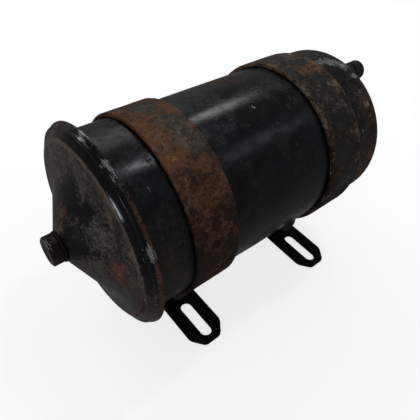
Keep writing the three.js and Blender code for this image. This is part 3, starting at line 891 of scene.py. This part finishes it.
def threaded(name, start, stop, radius, pitch, thread_from, groove=None, sides=40):
    """A shank along X with a helical thread from one station on, and an optional groove (from, to, depth)."""
    steps = max(8, round((stop - thread_from) / pitch * 8))
    rows = [start + (thread_from - start) * k / 6 for k in range(6)]
    rows += [thread_from + (stop - thread_from) * k / steps for k in range(steps + 1)]
    if groove:
        rows += [edge + step for edge in groove[:2] for step in (-0.01, 0.01)]
    rows.sort()
    depth = pitch * 0.55
    vertices = [place(start, 0, 0)]
    for station in rows:
        for side in range(sides):
            share = side / sides
            phase = (station / pitch - share) % 1
            cut = depth * (1 - abs(2 * phase - 1)) * min(1, max(0, (station - thread_from) / pitch))
            cut = max(cut, pitch * 0.8 - (stop - station))
            if groove and groove[0] < station < groove[1]:
                cut = groove[2]
            vertices.append(round_place(station, radius - cut, -360 * share))
    vertices.append(place(stop, 0, 0))
    faces = faces_between(len(rows), sides, 1)
    last = len(vertices) - 1
    for side in range(sides):
        beside = (side + 1) % sides
        faces += [(0, 1 + beside, 1 + side), (last, last - sides + side, last - sides + beside)]
    return made(name, vertices, faces)


def head_marks(station, radius, angle, point):
    """A rusty bolt head, worn bright along the edges of its face and at its corners."""
    edge = band(radius, 7.4, 8.8, 0.5) * band(station, -60, -58.2, 0.5)
    corner = band(radius, 8.8, 9.6, 0.3) * band(station, -60, -52, 0.5)
    return 0.55, 0.34, 0.10 + 0.34 * edge + 0.30 * corner, 0.08


def make_lid_bolt():
    start, stop = stations("lid_bolt")
    head_height, shank_radius, thread_from = 6.7, 5.4, -24
    head_back = start + head_height
    head = hex_piece("cover_bolt", start, head_back, LID_BOLT_FLATS, 53)
    eased(head, 0.22, 25)
    clip_from, clip_to = stations("lid_bolt_clip")
    groove = (clip_from - GAP, clip_to + GAP, 0.8)
    shank = threaded("shank", head_back - 1, stop, shank_radius, BOLT_PITCH, thread_from, groove, 48)
    carved(head, [shank], "UNION")
    finished(head, BOLT_STEEL, "bolt", "black_bracket", "lid_bolt", head_marks)


def make_clip():
    start, stop = stations("lid_bolt_clip")
    ring = turned("cover_bolt_clip", block(start, stop, 4.75, half_width("lid_bolt_clip"), 0.2), 72)
    wedge = [(0, 0), (12, -6.5), (12, 6.5)]
    carved(ring, [prism("wedge", wedge, start - 1, stop + 1, lambda a, b, c: place(c, a, b))])
    finished(ring, CLEAN_STEEL, "bolt", "plain_steel", "lid_bolt_clip")


def make_clamp(end, nut_body, washer_body):
    """A strap's clamp bolt, nut and washers, each made along X and then laid along Y."""
    station, _, depth = middle(f"{end}_clamp_nut")
    marks = evenly(0.50, 0.34, 0.06)

    def extent(role):
        return span(f"{end}_clamp_{role}", 1)

    def laid(piece, role, body):
        turn_to_y(piece, station, depth)
        finished(piece, BOLT_STEEL, body, "rusty_strap", f"{end}_clamp_{role}", marks)

    head_low, bolt_end = extent("bolt")
    head_high = extent("head_washer")[0] - GAP
    bolt = hex_piece(f"{end}_clamp_screw", head_low, head_high, CLAMP_FLATS, 90)
    carved(bolt, [threaded("shank", head_high - 1, bolt_end, 3.9, CLAMP_PITCH, 8)], "UNION")
    laid(bolt, "bolt", "housing")

    low, high = extent("nut")
    nut = hex_piece(f"{end}_nut", low, high, CLAMP_FLATS, 90, chamfer_stop=True)
    carved(nut, [turned("bore", bar(low - 1, high + 1, 4.1), 48)])
    eased(nut, 0.2, 25)
    laid(nut, "nut", nut_body)

    for role, body in (("head_washer", "housing"), ("nut_washer", washer_body)):
        laid(turned(f"{end}_{role}", block(*extent(role), CLAMP_HOLE, 8, 0.25), 64), role, body)


make_lid_bolt()
make_clip()
make_clamp("front", "front_nut", "front_nut_washer")
make_clamp("rear", "rear_nut", "rear_nut_washer")


# ---- ports and plugs ----
def make_port(name, node, outline, marks, y=0.0, z=0.0):
    """A boss or a collar on the closed end, kept out of the canister."""
    piece = turned(name, finely(softened(outline), 2), 96, y, z)
    inside = [(0, 0), (0, SHELL_RADIUS - GAP)] + shell_outside(-GAP)
    carved(piece, [turned("clear", inside, 128)])
    finished(piece, CANISTER_PAINT, "housing", "black_paint", node, marks)


def make_ports():
    start, stop = stations("inlet_boss")
    outer = half_width("inlet_boss")
    root, root_radius = start - 6, outer + 1.8
    outline = [(root, INLET_BORE, 0), (root, root_radius, 0), (END_FLAT, root_radius, 0)]
    outline += [(END_FLAT + 2.8, outer, 1.6), (stop, outer, 0.7), (stop, INLET_BORE, 0.4)]
    make_port("inlet_port", "inlet_boss", outline, evenly(0.34, 0.62, 0.02), *INLET_AT)

    stop = stations("outlet_collar")[1]
    inner, outer = half_width("standpipe") + GAP, half_width("outlet_collar")
    root, chamfer = END_FLAT - 2, 2.5
    outline = [(root, inner, 0), (root, outer, 0), (stop - chamfer, outer, 1.0), (stop, outer - chamfer, 1.0)]
    outline += [(stop, inner, 0.3)]
    make_port("outlet_port", "outlet_collar", outline, evenly(0.22, 0.5, 0.05))


def make_plug(port, bore, socket, body, y=0.0, z=0.0):
    """A round-edged plug with a hexagon socket, a neck and a threaded stem."""
    stem_end, tip = stations(f"{port}_plug")
    washer_face = stations(f"{port}_washer")[1] + GAP
    outer = half_width(f"{port}_plug")
    rounding = outer * 0.4
    outline = [(washer_face, 0), (washer_face, outer - 0.5), (washer_face + 0.5, outer)]
    outline += arc(tip - rounding, outer - rounding, rounding, 8, 90, 8)[::-1]
    outline += [(tip, outer - rounding - 0.6), (tip, 0)]
    knob = turned(f"{port}_plug_head", finely(outline, 1.5), 96, y, z)
    recess = prism("socket", hexagon(socket, 20), tip - 5, tip + 1, lambda a, b, c: place(c, y + a, z + b))
    carved(knob, [recess])
    eased(knob, 0.2, 50)
    # The stem is made pointing the other way, and mirrored.
    stem = threaded("stem", -washer_face - 1, -stem_end, bore, PLUG_PITCH, -washer_face + 2.6)
    for vertex in stem.data.vertices:
        vertex.co.x = 2 * STATION_ZERO - vertex.co.x
        vertex.co.y += y * MM
        vertex.co.z += z * MM
    tidy(stem.data)
    carved(knob, [stem], "UNION")
    finished(knob, PLUG_PAINT, body, "black_bracket", f"{port}_plug", evenly(0.06, 0.26, 0.04))


def make_ring(name, node, inner, finish, body, setback=0.35, sides=96, split=300, at=(0.0, 0.0), rule=None):
    """A turned ring with softened edges, in place of a CAD ring. Split is its outline's longest stretch."""
    material, slot = finish
    outline = finely(block(*stations(node), inner, half_width(node), setback), split)
    finished(turned(name, outline, sides, *at), material, body, slot, node, rule)


NEW_COPPER, AGED_COPPER = (COPPER, "copper"), (OLD_COPPER, "copper")
SEAL, STEEL_RING = (SEAL_RUBBER, "rubber"), (CLEAN_STEEL, "plain_steel")
make_ports()
make_plug("inlet", 4.8, 6.4, "inlet_stopper", *INLET_AT)
make_plug("outlet", 6.8, 9.5, "outlet_stopper")
make_ring("inlet_washer_ring", "inlet_washer", 4.9, NEW_COPPER, "inlet_seal", at=INLET_AT)
make_ring("outlet_washer_ring", "outlet_washer", 6.9, NEW_COPPER, "outlet_seal")
washer_marks = evenly(0.4, 0.1, 0.0, 0.0)
make_ring("lid_bolt_washer_ring", "lid_bolt_washer", 5.7, AGED_COPPER, "bolt_washer", 0.25, rule=washer_marks)
make_ring("lid_gasket_ring", "lid_gasket", 56, SEAL, "lid", 0.4)


# ---- standpipe, spring and element ----
def make_standpipe():
    pipe = turned("centre_pipe", block(*stations("standpipe"), 7.2, half_width("standpipe"), 0.35), 96)
    drills = []
    for i in range(5):
        drill = turn_to_y(turned("drill", bar(-12, 12, 1.8), 24), 30 + 30 * i, 0)
        if i % 2:
            for vertex in drill.data.vertices:
                y, z = vertex.co.y, vertex.co.z - AXIS_HEIGHT
                vertex.co.y, vertex.co.z = z, AXIS_HEIGHT - y
        drills.append(drill)
    carved(pipe, drills)
    finished(pipe, CLEAN_STEEL, "housing", "plain_steel", "standpipe")
    make_ring("pipe_insert", "standpipe_insert", 5.7, STEEL_RING, "housing", 0.3, 72)


def make_spring():
    start, stop = stations("pressure_spring")
    wire, turns, sides = 1.3, 6, 14
    coil = half_width("pressure_spring") - wire
    steps = turns * 40
    vertices = []
    for i in range(steps + 1):
        share = i / steps
        centre = start + wire + (stop - start - 2 * wire) * share
        for k in range(sides):
            around = 2 * pi * k / sides
            out = coil + wire * cos(around)
            vertices.append(round_place(centre + wire * sin(around), out, -360 * turns * share))
    spring = made("coil_spring", vertices, faces_between(steps + 1, sides) + end_faces(steps + 1, sides))
    finished(spring, CLEAN_STEEL, "lid", "plain_steel", "pressure_spring")


def make_cap(node, name, way):
    """A pressed end cap with a skirt. Way is 1 where the skirt points towards the closed end."""
    face, edge = stations(node)[::way]
    inner, outer, wall = 13.5, half_width(node), 1.2
    step, inside = face + way * 0.5, face + way * (wall + 0.05)
    corners = [(face, inner, 0.3), (face, 24, 0.0), (step, 27, 1.0), (step, 38, 1.0), (face, 41, 1.0)]
    corners += [(face, outer, 1.6), (edge, outer, 0.5), (edge, outer - wall, 0.5)]
    corners += [(inside, outer - wall, 0.6), (inside, inner, 0.3)]
    cap = turned(name, finely(softened(corners), 3), 144)
    finished(cap, CLEAN_STEEL, "element", "plain_steel", node)


def make_media():
    """The wound yarn, with grooves between its crossing windings."""
    start, stop = stations("element_media")
    inner, outer, lead, starts = 13.8, half_width("element_media"), 9.0, 6
    steps = round((stop - start) / 1.1)
    outline = [(start, inner)] + [(start + (stop - start) * k / steps, outer) for k in range(steps + 1)]
    media = turned("element_yarn", outline + [(stop, inner)], 264)
    for vertex in media.data.vertices:
        y, z = vertex.co.y / MM, (vertex.co.z - AXIS_HEIGHT) / MM
        radius = hypot(y, z)
        if radius > outer - 1:
            station, turn = (vertex.co.x - STATION_ZERO) / MM, atan2(y, z)
            up = abs(sin(pi * station / lead + starts * turn))
            down = abs(sin(pi * station / lead - starts * turn))
            sink = 1 - (1.3 * (1 - max(up, down) ** 1.5) + 0.35 * (1 - up)) / radius
            vertex.co.y *= sink
            vertex.co.z = AXIS_HEIGHT + (vertex.co.z - AXIS_HEIGHT) * sink
    finished(media, YARN, "element", "filter_cotton", "element_media")


def make_rest():
    start, stop = stations("element_rest")
    inner, outer, wall = 16, half_width("element_rest"), 1.5
    corners = [(start, inner, 0.4), (start, outer, 1.8), (stop, outer, 0.4), (stop, outer - wall, 0.4)]
    corners += [(start + wall, outer - wall, 0.8), (start + wall, inner, 0.4)]
    rest = turned("rest_ring", finely(softened(corners), 2), 128)
    finished(rest, CLEAN_STEEL, "housing", "plain_steel", "element_rest")


make_standpipe()
make_spring()
make_ring("seat_ring", "spring_seat", 8.8, STEEL_RING, "lid", split=1.2)
make_ring("cup_ring", "spring_cup", 9.6, STEEL_RING, "lid", split=1.2)
make_cap("element_top_cap", "top_cap", 1)
make_cap("element_end_cap", "end_cap", -1)
make_media()
make_ring("element_tube", "element_core", 12.5, STEEL_RING, "element", 0.2)
for seal in ("element_top_seal", "element_end_seal"):
    make_ring(f"{seal}_ring", seal, 9.3, SEAL, "element", 0.5)
make_rest()


# ---- floor, lights and camera ----
FLOOR_GLOW = 0.72
WORLD_GLOW = 0.14
LIGHT_AIM = Vector((0, 0, 0.09))
WHITE = (1.0, 1.0, 1.0)
COOL = (0.92, 0.96, 1.0)
SKY = (0.80, 0.88, 1.0)
BLUE = (0.66, 0.80, 1.0)


def make_floor():
    """A pale floor that curves up into a pale wall all round, and sends no light onto the part."""
    flat, curve, top, sides = 2.6, 1.0, 6.0, 48
    profile = [(1.2, 0)] + arc(flat, curve, curve, -90, 0, 10) + [(flat + curve, top)]
    vertices, faces = [(0, 0, 0)], faces_between(len(profile), sides, 1)
    for radius, height in profile:
        for side in range(sides):
            turn = 2 * pi * side / sides
            vertices.append((radius * cos(turn), radius * sin(turn), height))
    faces += [(0, 1 + (side + 1) % sides, 1 + side) for side in range(sides)]
    floor = made("floor", vertices, faces)
    floor.data.flip_normals()
    smooth(floor)
    f = Finish("floor_white")
    f.set(Base_Color=f.blend(f.noise(40, 2, 0.6, 0), (0.86, 0.86, 0.86), (0.88, 0.88, 0.88)), Roughness=0.9)
    f.set(Emission_Color=(*WHITE, 1.0), Emission_Strength=FLOOR_GLOW)
    floor.data.materials.append(f.material)
    floor.visible_glossy = False
    floor.visible_diffuse = False
    floor.visible_shadow = False


def softbox(name, direction, distance, width, height, radiance, colour=WHITE):
    """An area light of that size in metres, aimed at the part from that direction."""
    light = bpy.data.lights.new(name, "AREA")
    light.shape = "RECTANGLE"
    light.size, light.size_y = width, height
    light.energy = radiance * pi * width * height
    light.color = colour
    lamp = added(name, light)
    lamp.location = LIGHT_AIM + Vector(direction).normalized() * distance
    lamp.rotation_euler = Vector(direction).to_track_quat("Z", "Y").to_euler()
    lamp.visible_camera = False


def make_lights():
    world = bpy.data.worlds.new("studio")
    bpy.context.scene.world = world
    world.use_nodes = True
    background = world.node_tree.nodes["Background"]
    background.inputs["Color"].default_value = (*WHITE, 1.0)
    background.inputs["Strength"].default_value = WORLD_GLOW
    softbox("back", (0.55, 0.44, 0.70), 1.7, 0.24, 0.11, 10.5)
    softbox("top", (0.39, 0.08, 0.92), 1.7, 0.12, 0.10, 36.0, COOL)
    softbox("wide", (0.10, 0.80, 0.60), 1.9, 1.6, 0.9, 0.9)
    softbox("glow", (0.60, -0.40, 0.68), 1.8, 0.5, 0.35, 0.85, BLUE)
    softbox("window", (-0.975, 0.13, -0.05), 1.7, 0.26, 0.07, 48.0, SKY)
    softbox("front", (-0.60, -0.50, 0.62), 2.0, 1.2, 1.0, 0.85)


CAMERA_PLACE = (-94.96, -158.46, 192.09)
CAMERA_AZIMUTH, CAMERA_ELEVATION, CAMERA_ROLL = -44.78, 45.97, 7.07
CAMERA_LENS, CAMERA_SENSOR = 36.694, 36


def make_camera():
    """Puts the camera at the photo's viewing angle."""
    azimuth, roll = radians(CAMERA_AZIMUTH), radians(CAMERA_ROLL)
    tilt = radians(90 - CAMERA_ELEVATION)
    turn = Matrix.Rotation(azimuth, 4, "Z") @ Matrix.Rotation(tilt, 4, "X") @ Matrix.Rotation(roll, 4, "Z")
    camera = bpy.data.cameras.new("camera")
    camera.lens, camera.sensor_width = CAMERA_LENS, CAMERA_SENSOR
    camera.clip_start, camera.clip_end = 0.01, 50
    eye = added("camera", camera)
    eye.matrix_world = Matrix.Translation(place(*CAMERA_PLACE)) @ turn
    bpy.context.scene.camera = eye


make_floor()
make_lights()
make_camera()
bpy.context.scene.view_settings.view_transform = "Standard"
